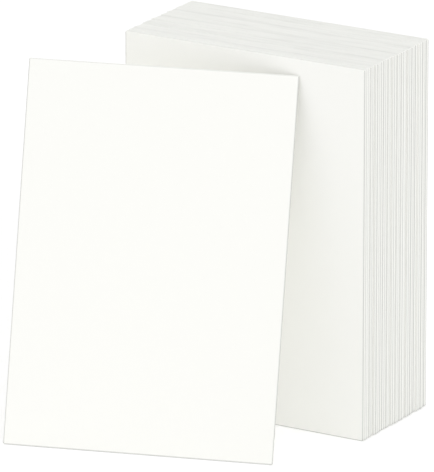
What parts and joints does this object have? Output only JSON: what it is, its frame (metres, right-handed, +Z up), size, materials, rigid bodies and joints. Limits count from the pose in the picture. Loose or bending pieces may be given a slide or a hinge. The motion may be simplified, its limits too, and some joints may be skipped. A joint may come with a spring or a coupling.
{
  "type": "pack of construction paper",
  "caption": "Pack of heavy white construction paper: loose cut sheets standing squared on their short edge, with one sheet leaning against the front.",
  "frame": {"origin": "middle of the pack's foot, on the surface that it stands on", "axes": "+Z up, X along the sheets' short side, -Y out of the front of the pack, where the single sheet leans"},
  "size_m": [0.1558, 0.1473, 0.1779],
  "materials": {
    "paper": "uncoated smooth matt, ivory white, with plain guillotined edges"
  },
  "bodies": {
    "root": {"lift_01": "paper", "lift_02": "paper", "lift_03": "paper", "lift_04": "paper", "lift_05": "paper", "lift_06": "paper", "lift_07": "paper", "lift_08": "paper", "lift_09": "paper", "lift_10": "paper", "lift_11": "paper", "lift_12": "paper", "lift_13": "paper", "lift_14": "paper", "lift_15": "paper", "lift_16": "paper", "lift_17": "paper", "lift_18": "paper", "lift_19": "paper", "lift_20": "paper", "lift_21": "paper", "lift_22": "paper", "lift_23": "paper", "lift_24": "paper", "lift_25": "paper", "lift_26": "paper", "lift_27": "paper", "lift_28": "paper", "lift_29": "paper", "lift_30": "paper", "leaning_sheet": "paper"}
  },
  "joints": []
}
